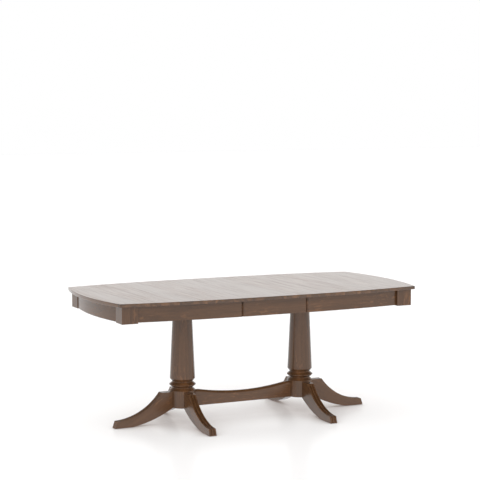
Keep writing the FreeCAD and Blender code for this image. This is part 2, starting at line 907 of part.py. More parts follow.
def make_leaf():
    """The leaf between the halves: a straight board with two aprons and their blocks."""
    board = doc.addObject("Part::Box", "leaf_top_blank")
    bind(board, Length=s.leaf_width, Width=s.table_width, Height=s.table_height - leaf_underside)
    place(board, x=-leaf_half, y=-half_width, z=leaf_underside)
    rim = doc.addObject("Part::Fillet", "leaf_top_rounded")
    rim.Base = board
    doc.recompute()
    long_edges = [
        n
        for n, edge in enumerate(board.Shape.Edges, start=1)
        if edge.BoundBox.XLength > float(leaf_half)
    ]
    rim.Edges = [(n, float(s.edge_round), float(s.edge_round)) for n in long_edges]
    cuts = leaf_block_screws(s.bore_gap)
    for way in SIGNS:
        cuts += leaf_pin_slots(way * leaf_half, -way, pin_places(way))
    bored("leaf_top", rim, cuts)
    for face, sign in FACES.items():
        body = make_body(f"leaf_{face}_apron_blank")
        flat_half = leaf_half - s.seam_chamfer
        chamfered = leaf_apron_outer - s.seam_chamfer
        corners = [
            (-leaf_half, sign * leaf_apron_inner),
            (-leaf_half, sign * chamfered),
            (-flat_half, sign * leaf_apron_outer),
            (flat_half, sign * leaf_apron_outer),
            (leaf_half, sign * chamfered),
            (leaf_half, sign * leaf_apron_inner),
        ]
        board = pad(body, outline(body, "XY_Plane", corners), leaf_underside - apron_bottom)

        def lower_edge(edge, face_y=sign * leaf_apron_outer):
            return level_at(edge, 0) and near(edge.CenterOfMass.y, face_y)

        fillet(body, board, s.wood_ease, lower_edge)
        place(body, z=apron_bottom)
        bored(f"leaf_{face}_apron", body, leaf_block_screws(s.bore_gap))
    blanks = Part.makeCompound(leaf_blocks())
    group("leaf_glue_blocks", blanks.cut(Part.makeCompound(leaf_block_screws(s.bore_gap))).Solids)
    group("leaf_block_screws", leaf_block_screws())


def arms(name):
    """The legs of one pedestal by name, with the direction each points in."""
    outward = SIDES[name]
    return {
        f"{name}_outer_leg": 180 if outward < 0 else 0,
        f"{name}_front_leg": -90,
        f"{name}_back_leg": 90,
    }


def leg_ways(way):
    """The directions of one pedestal's legs, as unit vectors."""
    return [X_AXIS * way, -Y_AXIS, Y_AXIS]


def spokes(way):
    """The directions of one pedestal's legs and of its stretcher."""
    return leg_ways(way) + [-X_AXIS * way]


def spoke_rods(radius, start, length):
    """Round bars out from both columns at the bolt heights, one per leg or stretcher bolt."""
    bars = []
    for way in SIGNS:
        for spoke in spokes(way):
            for z in bolt_heights:
                foot = spoke * float(start)
                bars.append(rod(radius, length, way * axis_x + foot.x, foot.y, z, spoke))
    return bars


def hexagon_nuts():
    """A nut on the inner end of every bolt, bored for it."""
    nuts = []
    side = float(s.nut_flat) / math.cos(math.pi / NUT_SIDES)
    for way in SIGNS:
        for spoke in spokes(way):
            across = vector(-spoke.y, spoke.x, 0)
            for z in bolt_heights:
                middle = vector(way * axis_x, 0, z) + spoke * float(nut_start)
                corners = []
                for n in range(NUT_SIDES):
                    angle = 2 * math.pi * n / NUT_SIDES
                    corners.append(middle + (across * math.sin(angle) + Z_AXIS * math.cos(angle)) * side)
                blank = Part.Face(Part.makePolygon(corners + corners[:1]))
                nuts.append(blank.extrude(spoke * float(s.nut_height)))
    bores = Part.makeCompound(spoke_rods(s.bolt_radius + s.bore_gap, bolt_start, bolt_length))
    return Part.makeCompound(nuts).cut(bores).Solids


def washers():
    """A washer under every nut."""
    blanks = Part.makeCompound(spoke_rods(s.washer_radius, washer_start, s.washer_thick))
    bores = Part.makeCompound(spoke_rods(s.bolt_radius + s.bore_gap, bolt_start, bolt_length))
    return blanks.cut(bores).Solids


def at_toe_top(edge):
    """Whether an edge crosses a leg where its top meets its toe."""
    return near(edge.BoundBox.XMin, toe_top_reach) and level_at(edge, s.toe_height)


def along_reed(edge):
    """Whether an edge runs along the side of a reed, from the ledge over the toe."""
    if edge.BoundBox.YLength > float(s.bore_gap):
        return False
    radius = getattr(edge.Curve, "Radius", 0)
    if near(radius, leg_top_radius):
        return near(edge.BoundBox.ZMax, ledge_height)
    if near(radius, s.toe_round):
        return True
    return radius == 0 and near(edge.BoundBox.XMax, s.toe_reach) and not near(edge.BoundBox.ZLength, 0)


def make_leg(label, name, angle):
    """A sabre leg: flat ledge, hollow reeded top, slanted toe and a flat foot."""
    body = make_body(f"{label}_blank")
    corners = [
        (leg_seat, s.drum_bottom),
        (foot_flat_reach, s.glide_stand),
        (s.toe_reach, s.glide_stand),
        (toe_top_reach, s.toe_height),
        (s.ledge_reach, ledge_height),
        (leg_seat, ledge_height),
    ]
    arcs = {0: (leg_low_radius, 1), 3: (leg_top_radius, -1)}
    pad(body, outline(body, "XZ_Plane", corners, arcs), s.leg_thick, both_ways=True)
    deep = s.reed_groove_depth
    over = s.cut_overrun
    groove = [
        (s.ledge_reach - deep, ledge_height + over),
        (s.ledge_reach - deep, ledge_height - deep),
        (toe_top_reach - deep, s.toe_height - deep),
        (s.toe_reach - deep, s.glide_stand - over),
        (s.toe_reach + over, s.glide_stand - over),
        (toe_top_reach + over, s.toe_height + over),
        (s.ledge_reach + over, ledge_height + over),
    ]
    bends = {1: (leg_top_radius, 1), 5: (leg_top_radius, -1)}
    for sign in SIGNS:
        lift = sign * (s.leg_thick + s.reed_groove_width) * GROOVE_SHARE
        reeded = pocket(body, outline(body, "XZ_Plane", groove, bends, lift), s.reed_groove_width)
    reeded = fillet(body, reeded, s.toe_round, at_toe_top)
    fillet(body, reeded, s.reed_round, along_reed)
    place(body, x=SIDES[name] * axis_x, turn=angle)
    cuts = spoke_rods(s.bolt_radius + s.bore_gap, bolt_start, bolt_length + s.bore_gap)
    return bored(label, body, cuts + foot_glides(s.bore_gap))


def foot_glides(slack=0):
    """A nylon glide let into each foot."""
    reach = (foot_flat_reach + s.toe_reach) / 2
    glides = []
    for way in SIGNS:
        for spoke in leg_ways(way):
            foot = spoke * float(reach)
            x = way * axis_x + foot.x
            glides.append(rod(s.glide_radius + slack, s.glide_height, x, foot.y, 0, Z_AXIS))
    return glides


def plate_screws(slack=0):
    """Screws down through the plates into the columns."""
    return [
        wood_screw(
            s.plate_screw_length,
            way * axis_x + u * s.plate_screw_offset,
            v * s.plate_screw_offset,
            rail_bottom,
            -Z_AXIS,
            slack,
        )
        for way in SIGNS
        for u in SIGNS
        for v in SIGNS
    ]


def rail_screws(slack=0):
    """Screws up through the plates into the rails."""
    return [
        wood_screw(
            s.plate_thick + s.rail_screw_bite,
            way * axis_x + u * s.rail_screw_offset,
            v * s.rail_offset,
            column_top,
            Z_AXIS,
            slack,
        )
        for way in SIGNS
        for u in SIGNS
        for v in SIGNS
    ]


def make_column(name):
    """A turned column: drum, collar, bead and tapered shaft in one piece."""
    way = SIDES[name]
    body = make_body(f"{name}_column_blank")
    nose_radius = s.bead_radius - s.bead_nose_swell
    profile = [
        (0, s.drum_bottom),
        (s.drum_radius - s.wood_ease, s.drum_bottom),
        (s.drum_radius, s.drum_bottom + s.wood_ease),
        (s.drum_radius, drum_top),
        (s.neck_radius, drum_top + s.collar_height),
        (s.neck_radius, bead_bottom),
        (nose_radius, nose_bottom),
        (nose_radius, nose_top),
        (s.neck_radius, bead_top),
        (s.neck_radius, shaft_foot - s.shaft_chamfer),
        (s.shaft_foot_radius, shaft_foot),
        (s.column_top_radius, column_top),
        (0, column_top),
    ]
    arcs = {6: (arc_radius(s.bead_nose, 0, s.bead_nose_swell), 1)}
    sketch = outline(body, "XZ_Plane", profile, arcs)
    turned = body.newObject("PartDesign::Revolution", f"{body.Name}_turned")
    turned.Profile = sketch
    turned.ReferenceAxis = (sketch, ["V_Axis"])
    doc.recompute()
    place(body, x=way * axis_x)
    middle = way * axis_x
    low = s.drum_bottom - s.cut_overrun
    pocket_height = s.drum_pocket_depth + s.cut_overrun
    cuts = [centred_box(s.drum_pocket, s.drum_pocket, pocket_height, middle, 0, low)]
    seat_length = s.drum_radius - leg_seat + s.cut_overrun
    seat_height = ledge_height + s.leg_fit - low
    for spoke in spokes(way):
        towards_stretcher = spoke.x * way < 0
        thick = s.stretcher_thick if towards_stretcher else s.leg_thick
        width = thick + 2 * s.leg_fit
        length_x = seat_length if spoke.x else width
        length_y = width if spoke.x else seat_length
        foot = spoke * float(leg_seat + seat_length / 2)
        seat = centred_box(length_x, length_y, seat_height, middle + foot.x, foot.y, low)
        if towards_stretcher:
            upper = [edge for edge in seat.Edges if lengthwise_at(edge, low + seat_height)]
            seat = seat.makeFillet(float(s.stretcher_round + s.leg_fit), upper)
        cuts.append(seat)
    cuts += spoke_rods(s.bolt_radius + s.bore_gap, bolt_start, bolt_length)
    cuts += plate_screws(s.bore_gap)
    return bored(f"{name}_column", body, cuts)


def make_stretcher():
    """The stretcher between the drums: straight below, hollow and rounded above."""
    body = make_body("stretcher_blank")
    reach = axis_x - leg_seat
    flat = reach - s.stretcher_flat
    corners = [
        (-reach, s.drum_bottom),
        (reach, s.drum_bottom),
        (reach, ledge_height),
        (flat, ledge_height),
        (-flat, ledge_height),
        (-reach, ledge_height),
    ]
    radius = arc_radius(2 * flat, 0, s.stretcher_dip)
    sketch = outline(body, "XZ_Plane", corners, {3: (radius, -1)})

    def at_hollow_end(edge):
        """Whether an edge crosses the stretcher where its level end meets the hollow."""
        crosses = near(edge.BoundBox.YLength, s.stretcher_thick)
        return crosses and level_at(edge, ledge_height) and near(abs(edge.BoundBox.XMin), flat)

    bar = pad(body, sketch, s.stretcher_thick, both_ways=True)
    bar = fillet(body, bar, s.stretcher_blend, at_hollow_end)
    bar = fillet(body, bar, s.stretcher_round, lambda edge: lengthwise_at(edge, ledge_height))
    fillet(body, bar, s.wood_ease, lambda edge: lengthwise_at(edge, s.drum_bottom))
    cuts = spoke_rods(s.bolt_radius + s.bore_gap, bolt_start, bolt_length + s.bore_gap)
    return bored("stretcher", body, cuts)


def make_plate(name):
    """The plate on top of a column that carries both rails."""
    blank = doc.addObject("Part::Box", f"{name}_top_plate_blank")
    bind(blank, Length=s.plate_length, Width=plate_width, Height=s.plate_thick)
    x = SIDES[name] * axis_x - s.plate_length / 2
    place(blank, x=x, y=-plate_width / 2, z=column_top)
    return bored(f"{name}_top_plate", blank, plate_screws(s.bore_gap) + rail_screws(s.bore_gap))


def make_rail(face):
    """A fixed rail with a groove along both sides and room for the pinion in its middle."""
    sign = FACES[face]
    blank = doc.addObject("Part::Box", f"{face}_rail_blank")
    bind(blank, Length=s.rail_length, Width=rail_width, Height=s.rail_height)
    place(blank, x=-s.rail_length / 2, y=sign * s.rail_offset - rail_width / 2, z=rail_bottom)
    length = s.rail_length + 2 * s.cut_overrun
    depth = s.groove_depth + s.cut_overrun
    out = rail_width / 2 - s.groove_depth + depth / 2
    middle = sign * s.rail_offset
    cuts = [
        centred_box(length, depth, s.groove_height, 0, middle + side * out, groove_low) for side in SIGNS
    ]
    room = pinion_room + s.cut_overrun
    cuts.append(rod(tip_radius + s.gear_room, room, 0, middle, pinion_floor, Z_AXIS))
    cuts += rail_screws(s.bore_gap) + pinion_shanks(s.bore_gap)
    return bored(f"{face}_rail", blank, cuts)


def pinion_shanks(slack=0):
    """The round shanks of the pins that the pinions turn on."""
    foot = rail_bottom + s.pin_floor - slack
    radius = s.pin_radius + slack
    return [rod(radius, pin_head_low - foot, 0, sign * s.rail_offset, foot, Z_AXIS) for sign in SIGNS]


def pinion_pins():
    """The pinions' pins, each with a head that keeps its pinion down."""
    heads = [
        rod(s.pin_head_radius, s.pin_head_height, 0, sign * s.rail_offset, pin_head_low, Z_AXIS)
        for sign in SIGNS
    ]
    return [shank.fuse(head) for shank, head in zip(pinion_shanks(), heads)]


def slide_stops():
    """Blocks that close the rails' grooves where the opened halves stop."""
    out = rail_width / 2 - s.groove_depth / 2
    middle = stop_face + s.stop_length / 2
    stops = []
    for sign in SIGNS:
        for way in SIGNS:
            x = way * middle
            y = sign * s.rail_offset + way * out
            stops.append(centred_box(s.stop_length, s.groove_depth, s.groove_height, x, y, groove_low))
    return stops


def make_base():
    """The pedestals, the stretcher, the plates and the fixed rails."""
    for name in SIDES:
        make_column(name)
        make_plate(name)
        for label, angle in arms(name).items():
            make_leg(label, name, angle)
    make_stretcher()
    for face in FACES:
        make_rail(face)
        make_pinion(face)
    group("pinion_pins", pinion_pins())
    group("slide_stops", slide_stops())
    group("leg_bolts", spoke_rods(s.bolt_radius, bolt_start, bolt_length))
    group("leg_nuts", hexagon_nuts())
    group("leg_washers", washers())
    group("plate_screws", plate_screws())
    group("rail_screws", rail_screws())
    group("foot_glides", foot_glides())


def write_parts():
    """Check every object and write each sub-part to its own file."""
    doc.recompute()
    for thing in doc.Objects:
        if {"Invalid", "Error"} & set(thing.State):
            raise RuntimeError(f"{thing.Label}: {thing.State}")
    for label, thing in nodes.items():
        if thing.Shape.isNull() or not thing.Shape.isValid() or not thing.Shape.Solids:
            raise RuntimeError(f"{label}: no valid solid")
    os.makedirs("parts", exist_ok=True)
    for label, thing in nodes.items():
        thing.Shape.exportStep(os.path.join("parts", f"{label}.step"))
        print(f"{label}: {len(thing.Shape.Solids)} solid(s), {thing.Shape.Volume:.0f} mm3")


make_base()
for half_name, half_way in SIDES.items():
    make_half(half_name, half_way)
make_leaf()
write_parts()
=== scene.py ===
"""Dresses the extension dining table and sets it in a plain white studio."""

import logging
import math
from dataclasses import dataclass
from enum import Enum
from typing import Any, Iterable

import bpy
import numpy as np
from mathutils import Euler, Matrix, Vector


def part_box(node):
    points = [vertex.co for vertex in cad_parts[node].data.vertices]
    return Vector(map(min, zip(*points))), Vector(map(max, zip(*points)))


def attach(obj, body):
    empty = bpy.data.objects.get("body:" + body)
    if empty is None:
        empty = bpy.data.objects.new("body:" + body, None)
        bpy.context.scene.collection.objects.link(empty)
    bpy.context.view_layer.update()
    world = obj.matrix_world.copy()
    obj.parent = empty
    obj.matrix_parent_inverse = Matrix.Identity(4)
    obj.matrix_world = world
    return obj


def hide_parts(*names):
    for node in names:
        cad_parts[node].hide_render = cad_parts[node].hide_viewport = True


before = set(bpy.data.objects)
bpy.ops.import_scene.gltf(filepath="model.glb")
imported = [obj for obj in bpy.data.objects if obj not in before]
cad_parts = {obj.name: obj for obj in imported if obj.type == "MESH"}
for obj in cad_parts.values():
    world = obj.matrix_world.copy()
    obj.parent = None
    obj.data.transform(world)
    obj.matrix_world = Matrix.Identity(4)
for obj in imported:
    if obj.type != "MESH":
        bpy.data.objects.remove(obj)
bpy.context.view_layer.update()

LOG = logging.getLogger("dining_table")
RIGHT_ANGLE = math.pi / 2
NOISE_SPAN = (0.3, 0.7)
WHITE = (1.0, 1.0, 1.0)
MERGE_DIGITS = 6
END_PARTS = 10

Colour = tuple[float, float, float]
Triple = tuple[float, float, float]
Span = tuple[float, float]
Socket = bpy.types.NodeSocket


class NodeSheet:
    """Adds nodes to one node tree and joins them."""

    def __init__(self, tree: bpy.types.NodeTree) -> None:
        """Take over an empty tree."""
        self.tree = tree
        tree.nodes.clear()

    def add(self, kind: str, settings: dict[str, Any] | None = None, **inputs: Any) -> bpy.types.Node:
        """Add one node.

        Args:
            kind: The node's type.
            settings: Properties of the node, by name.
            inputs: What goes into each socket, by the socket's identifier with _ for a space.

        Returns:
            The new node.
        """
        node = self.tree.nodes.new(kind)
        for key, value in (settings or {}).items():
            setattr(node, key, value)
        for key, value in inputs.items():
            self.feed(node, key, value)
        return node

    def feed(self, node: bpy.types.Node, key: str, value: Any) -> None:
        """Put a constant, or another node's output, into one socket.

        Args:
            node: The node that receives the value.
            key: The socket's identifier, with _ for a space.
            value: A number, a triple, a material or an output socket.
        """
        names = {socket.identifier.replace(" ", "_"): socket for socket in node.inputs}
        socket = names[key] if key in names else node.inputs[key.replace("_", " ")]
        if isinstance(value, bpy.types.NodeSocket):
            self.tree.links.new(value, socket)
        elif socket.type == "RGBA":
            socket.default_value = (*value, 1.0)
        else:
            socket.default_value = value

    def ramp(self, factor: Socket, stops: Iterable[tuple[float, Colour]]) -> Socket:
        """Turn a number into a colour.

        Args:
            factor: The number, from 0 to 1.
            stops: Each place on the ramp with its colour.

        Returns:
            The colour's socket.
        """
        node = self.add("ShaderNodeValToRGB", Fac=factor)
        elements = node.color_ramp.elements
        for number, (place, colour) in enumerate(stops):
            element = elements[number] if number < 2 else elements.new(place)
            element.position = place
            element.color = (*colour, 1.0)
        return node.outputs["Color"]

    def noise(self, vector: Socket, scales: Triple, detail: float = 3.0, bend: float = 0.0) -> Socket:
        """Cloudy noise with its own scale each way.

        Args:
            vector: Where on the piece the noise is read.
            scales: How many swings a metre holds along each way.
            detail: How many finer layers are added.
            bend: How far the noise is warped.

        Returns:
            The noise's socket, from 0 to 1.
        """
        times = {"operation": "MULTIPLY"}
        spread = self.add("ShaderNodeVectorMath", times, Vector=vector, Vector_001=scales)
        place = spread.outputs["Vector"]
        node = self.add("ShaderNodeTexNoise", Vector=place, Scale=1.0, Detail=detail, Distortion=bend)
        return node.outputs["Fac"]

    def mix(self, factor: Any, first: Any, second: Any, blend: str = "MIX") -> Socket:
        """Mix two colours.

        Args:
            factor: How much of the second colour there is.
            first: The first colour.
            second: The second colour.
            blend: How they are blended.

        Returns:
            The mixed colour's socket.
        """
        settings = {"data_type": "RGBA", "blend_type": blend}
        node = self.add("ShaderNodeMix", settings, Factor_Float=factor, A_Color=first, B_Color=second)
        return next(socket for socket in node.outputs if socket.identifier == "Result_Color")

    def shaded(self, colour: Socket, shade: Socket) -> Socket:
        """A colour made lighter or darker by a number."""
        node = self.add("ShaderNodeVectorMath", {"operation": "SCALE"}, Vector=colour, Scale=shade)
        return node.outputs["Vector"]

    def emboss(self, shader: bpy.types.Node, height: Socket, strength: float, depth: float) -> None:
        """Raise a surface a little by a number.

        Args:
            shader: The surface shader.
            height: The number that raises it.
            strength: How much of the relief shows.
            depth: How deep it is, in metres.
        """
        bump = self.add("ShaderNodeBump", Strength=strength, Distance=depth, Height=height)
        self.feed(shader, "Normal", bump.outputs["Normal"])

    def sum(self, operation: str, first: Any, second: Any) -> Socket:
        """Join two numbers by one sum, named as the Math node names it."""
        node = self.add("ShaderNodeMath", {"operation": operation}, Value=first, Value_001=second)
        return node.outputs["Value"]

    def remap(self, value: Socket, low: float, high: float, start: float, stop: float) -> Socket:
        """Stretch a number from one range to another.

        Args:
            value: The number.
            low: Where its own range starts.
            high: Where its own range stops.
            start: What the low end becomes.
            stop: What the high end becomes.

        Returns:
            The stretched number's socket.
        """
        ranges = {"From_Min": low, "From_Max": high, "To_Min": start, "To_Max": stop}
        node = self.add("ShaderNodeMapRange", Value=value, **ranges)
        return node.outputs["Result"]


class Grain(Enum):
    """The way a board's fibres run, as the turn that brings them onto X."""

    ALONG_TABLE = (0.0, 0.0, 0.0)
    ACROSS_TABLE = (0.0, 0.0, -RIGHT_ANGLE)
    UPRIGHT = (0.0, RIGHT_ANGLE, 0.0)


def new_surface(name: str) -> tuple[bpy.types.Material, NodeSheet, bpy.types.Node]:
    """Start a material.

    Args:
        name: The material's name.

    Returns:
        The material, its sheet of nodes and its surface shader.
    """
    material = bpy.data.materials.new(name)
    material.use_nodes = True
    sheet = NodeSheet(material.node_tree)
    shader = sheet.add("ShaderNodeBsdfPrincipled")
    sheet.add("ShaderNodeOutputMaterial", Surface=shader.outputs["BSDF"])
    return material, sheet, shader


@dataclass(frozen=True)
class StainedWood:
    """Hardwood with a dark brown stain under satin lacquer.

    Each set of scales says how many swings of a noise a metre holds, first along the fibres. Stops
    and spans are readings of a noise between which a colour or a shade changes.
    """

    name: str
    turn: Triple
    dark: Colour = (0.076, 0.034, 0.013)
    middle: Colour = (0.098, 0.044, 0.017)
    light: Colour = (0.122, 0.055, 0.022)
    fleck: Colour = (0.215, 0.092, 0.034)
    end_dark: Colour = (0.076, 0.034, 0.013)
    end_light: Colour = (0.185, 0.080, 0.030)
    figure_scales: Triple = (1.3, 24.0, 24.0)
    streak_scales: Triple = (3.0, 95.0, 95.0)
    fibre_scales: Triple = (16.0, 1100.0, 1100.0)
    pore_scales: Triple = (45.0, 700.0, 700.0)
    patch_scales: Triple = (5.0, 14.0, 14.0)
    fleck_scales: Triple = (22.0, 120.0, 120.0)
    end_scales: Triple = (3.0, 24.0, 24.0)
    figure_detail: float = 4.0
    figure_bend: float = 0.8
    figure_stops: Triple = (0.34, 0.5, 0.68)
    figure_share: float = 0.62
    patch_span: Span = (0.48, 0.62)
    fleck_bend: float = 0.4
    fleck_span: Span = (0.54, 0.66)
    fleck_share: float = 0.6
    fibre_detail: float = 2.0
    fibre_shades: Span = (0.88, 1.1)
    pore_detail: float = 1.0
    pore_span: Span = (0.25, 0.42)
    pore_shade: float = 0.8
    end_bend: float = 0.6
    end_stops: Span = (0.44, 0.70)
    end_span: Span = (0.55, 0.85)
    # A lift in the stain's brightness; on the pedestal pieces it is partly painted light for the shade
    # under the top.
    tone: float = 1.0
    shift: Triple = (0.0, 0.0, 0.0)
    roughness: Span = (0.18, 0.26)
    refraction: float = 1.6
    coat: float = 0.0
    relief: float = 0.12
    relief_depth: float = 0.0004
    board_width: float = 0.0
    board_scatter: float = 0.5
    board_shift: float = 7.0
    board_shades: Span = (0.7, 1.3)
    board_dullness: Span = (-0.04, 0.05)
    joint_width: float = 0.0015
    joint_shade: float = 0.55
    joint_dullness: float = 0.12

    def boards(self, sheet: NodeSheet, place: Socket) -> tuple[Socket, Socket, Socket]:
        """Give each glued board its own figure and tone.

        Args:
            sheet: The material's nodes.
            place: Where on the piece the wood is read.

        Returns:
            The place with each board's own offset, the board's tone and the glue line, both from 0 to 1.
        """
        across = sheet.add("ShaderNodeSeparateXYZ", Vector=place).outputs["X"]
        spread = {"W": across, "Scale": 1 / self.board_width, "Randomness": self.board_scatter}
        cells = sheet.add("ShaderNodeTexVoronoi", {"voronoi_dimensions": "1D"}, **spread)
        edges = {"voronoi_dimensions": "1D", "feature": "DISTANCE_TO_EDGE"}
        away = sheet.add("ShaderNodeTexVoronoi", edges, **spread).outputs["Distance"]
        joint = sheet.remap(away, 0.0, self.joint_width / self.board_width, 1.0, 0.0)
        apart = (self.board_shift, self.board_shift, self.board_shift)
        moved = sheet.add(
            "ShaderNodeVectorMath", {"operation": "MULTIPLY_ADD"},
            Vector=cells.outputs["Color"], Vector_001=apart, Vector_002=place,
        )
        tone = sheet.add("ShaderNodeSeparateColor", Color=cells.outputs["Color"]).outputs["Green"]
        return moved.outputs["Vector"], tone, joint

    def end_grain(self, sheet: NodeSheet, normal: Socket) -> Socket:
        """How far a face cuts across the fibres, from 0 to 1."""
        euler = {"rotation_type": "EULER_XYZ"}
        turned = sheet.add("ShaderNodeVectorRotate", euler, Vector=normal, Rotation=self.turn)
        along = sheet.add("ShaderNodeSeparateXYZ", Vector=turned.outputs["Vector"]).outputs["X"]
        return sheet.remap(sheet.sum("ABSOLUTE", along, 0.0), *self.end_span, 0.0, 1.0)

    def colour(self, sheet: NodeSheet, grain: Socket, streak: Socket, normal: Socket) -> Socket:
        """Mix the stain's colour from figure, streaks, flecks and end grain.

        Args:
            sheet: The material's nodes.
            grain: Where in the wood the surface lies, with X along the fibres.
            streak: The noise of the streaks.
            normal: The way the surface faces.

        Returns:
            The colour's socket.
        """
        figure = sheet.noise(grain, self.figure_scales, self.figure_detail, self.figure_bend)
        broad = sheet.sum("MULTIPLY", figure, self.figure_share)
        blend = sheet.sum("ADD", broad, sheet.sum("MULTIPLY", streak, 1.0 - self.figure_share))
        colour = sheet.ramp(blend, zip(self.figure_stops, (self.dark, self.middle, self.light)))
        patches = sheet.remap(sheet.noise(grain, self.patch_scales), *self.patch_span, 0.0, 1.0)
        dots = sheet.noise(grain, self.fleck_scales, bend=self.fleck_bend)
        flecks = sheet.remap(dots, *self.fleck_span, 0.0, self.fleck_share)
        colour = sheet.mix(sheet.sum("MULTIPLY", patches, flecks), colour, self.fleck)
        ends = sheet.noise(grain, self.end_scales, bend=self.end_bend)
        end_colour = sheet.ramp(ends, zip(self.end_stops, (self.end_dark, self.end_light)))
        return sheet.mix(self.end_grain(sheet, normal), colour, end_colour)

    def material(self) -> bpy.types.Material:
        """Build the finish.

        Returns:
            The finished material.
        """
        material, sheet, shader = new_surface(self.name)
        coords = sheet.add("ShaderNodeTexCoord")
        place = coords.outputs["Object"]
        if self.board_width:
            place, tone, joint = self.boards(sheet, place)
        turned = sheet.add("ShaderNodeMapping", Vector=place, Location=self.shift, Rotation=self.turn)
        grain = turned.outputs["Vector"]
        streak = sheet.noise(grain, self.streak_scales)
        colour = self.colour(sheet, grain, streak, coords.outputs["Normal"])
        fibre = sheet.noise(grain, self.fibre_scales, self.fibre_detail)
        lines = sheet.remap(fibre, *NOISE_SPAN, *(shade * self.tone for shade in self.fibre_shades))
        pores = sheet.noise(grain, self.pore_scales, self.pore_detail)
        shade = sheet.sum("MULTIPLY", lines, sheet.remap(pores, *self.pore_span, self.pore_shade, 1.0))
        gloss = sheet.remap(streak, *NOISE_SPAN, *self.roughness)
        if self.board_width:
            shade = sheet.sum("MULTIPLY", shade, sheet.remap(tone, 0.0, 1.0, *self.board_shades))
            shade = sheet.sum("MULTIPLY", shade, sheet.remap(joint, 0.0, 1.0, 1.0, self.joint_shade))
            gloss = sheet.sum("ADD", gloss, sheet.remap(tone, 0.0, 1.0, *self.board_dullness))
            gloss = sheet.sum("ADD", gloss, sheet.sum("MULTIPLY", joint, self.joint_dullness))
        sheet.feed(shader, "Base_Color", sheet.shaded(colour, shade))
        sheet.feed(shader, "Roughness", gloss)
        shader.inputs["IOR"].default_value = self.refraction
        shader.inputs["Coat Weight"].default_value = self.coat
        shader.inputs["Coat Roughness"].default_value = self.roughness[0]
        sheet.emboss(shader, shade, self.relief, self.relief_depth)
        return material


@dataclass(frozen=True)
class PlainWood:
    """Planed pale hardwood, sealed but not stained."""

    name: str
    turn: Triple
    dark: Colour = (0.36, 0.22, 0.115)
    light: Colour = (0.58, 0.40, 0.235)
    figure_scales: Triple = (1.8, 45.0, 45.0)
    figure_detail: float = 4.0
    figure_bend: float = 0.9
    figure_stops: Span = (0.34, 0.66)
    fibre_scales: Triple = (20.0, 1200.0, 1200.0)
    fibre_detail: float = 2.0
    fibre_shades: Span = (0.88, 1.06)
    roughness: Span = (0.5, 0.66)
    relief: float = 0.2
    relief_depth: float = 0.0004

    def material(self) -> bpy.types.Material:
        """Build the finish.

        Returns:
            The finished material.
        """
        material, sheet, shader = new_surface(self.name)
        coords = sheet.add("ShaderNodeTexCoord")
        turned = sheet.add("ShaderNodeMapping", Vector=coords.outputs["Object"], Rotation=self.turn)
        grain = turned.outputs["Vector"]
        figure = sheet.noise(grain, self.figure_scales, self.figure_detail, self.figure_bend)
        fibre = sheet.noise(grain, self.fibre_scales, self.fibre_detail)
        colour = sheet.ramp(figure, zip(self.figure_stops, (self.dark, self.light)))
        shade = sheet.remap(fibre, *NOISE_SPAN, *self.fibre_shades)
        sheet.feed(shader, "Base_Color", sheet.shaded(colour, shade))
        sheet.feed(shader, "Roughness", sheet.remap(fibre, *NOISE_SPAN, *self.roughness))
        sheet.emboss(shader, shade, self.relief, self.relief_depth)
        return material


@dataclass(frozen=True)
class Metal:
    """Plated or turned metal with faint machining marks."""

    name: str
    dark: Colour
    light: Colour
    roughness: Span
    cloud_scales: Triple = (70.0, 70.0, 70.0)
    cloud_stops: Span = (0.35, 0.65)
    mark_scales: Triple = (260.0, 260.0, 900.0)
    mark_detail: float = 2.0
    relief: float = 0.08
    relief_depth: float = 0.0002

    def material(self) -> bpy.types.Material:
        """Build the finish.

        Returns:
            The finished material.
        """
        material, sheet, shader = new_surface(self.name)
        coords = sheet.add("ShaderNodeTexCoord").outputs["Object"]
        cloud = sheet.noise(coords, self.cloud_scales)
        marks = sheet.noise(coords, self.mark_scales, self.mark_detail)
        colour = sheet.ramp(cloud, zip(self.cloud_stops, (self.dark, self.light)))
        sheet.feed(shader, "Base_Color", colour)
        sheet.feed(shader, "Roughness", sheet.remap(marks, *NOISE_SPAN, *self.roughness))
        shader.inputs["Metallic"].default_value = 1.0
        sheet.emboss(shader, marks, self.relief, self.relief_depth)
        return material


@dataclass(frozen=True)
class Nylon:
    """Moulded nylon in its natural colour."""

    name: str
    dark: Colour = (0.56, 0.53, 0.46)
    light: Colour = (0.70, 0.67, 0.60)
    cloud_scales: Triple = (55.0, 55.0, 55.0)
    cloud_stops: Span = (0.35, 0.65)
    skin_scales: Triple = (1800.0, 1800.0, 1800.0)
    skin_detail: float = 1.0
    roughness: Span = (0.4, 0.55)
    depth_share: float = 0.1
    depth_reach: Triple = (0.002, 0.002, 0.002)
    relief: float = 0.06
    relief_depth: float = 0.0002

    def material(self) -> bpy.types.Material:
        """Build the finish.

        Returns:
            The finished material.
        """
        material, sheet, shader = new_surface(self.name)
        coords = sheet.add("ShaderNodeTexCoord").outputs["Object"]
        cloud = sheet.noise(coords, self.cloud_scales)
        skin = sheet.noise(coords, self.skin_scales, self.skin_detail)
        colour = sheet.ramp(cloud, zip(self.cloud_stops, (self.dark, self.light)))
        sheet.feed(shader, "Base_Color", colour)
        sheet.feed(shader, "Roughness", sheet.remap(skin, *NOISE_SPAN, *self.roughness))
        shader.inputs["Subsurface Weight"].default_value = self.depth_share
        shader.inputs["Subsurface Radius"].default_value = self.depth_reach
        sheet.emboss(shader, skin, self.relief, self.relief_depth)
        return material


def dress(node: str, material: bpy.types.Material) -> None:
    """Give one node of the frame its finish.

    Args:
        node: The node's name.
        material: The finish.
    """
    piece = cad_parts[node]
    for slot in piece.material_slots:
        slot.material = material
    LOG.info("%s: %s", node, material.name)


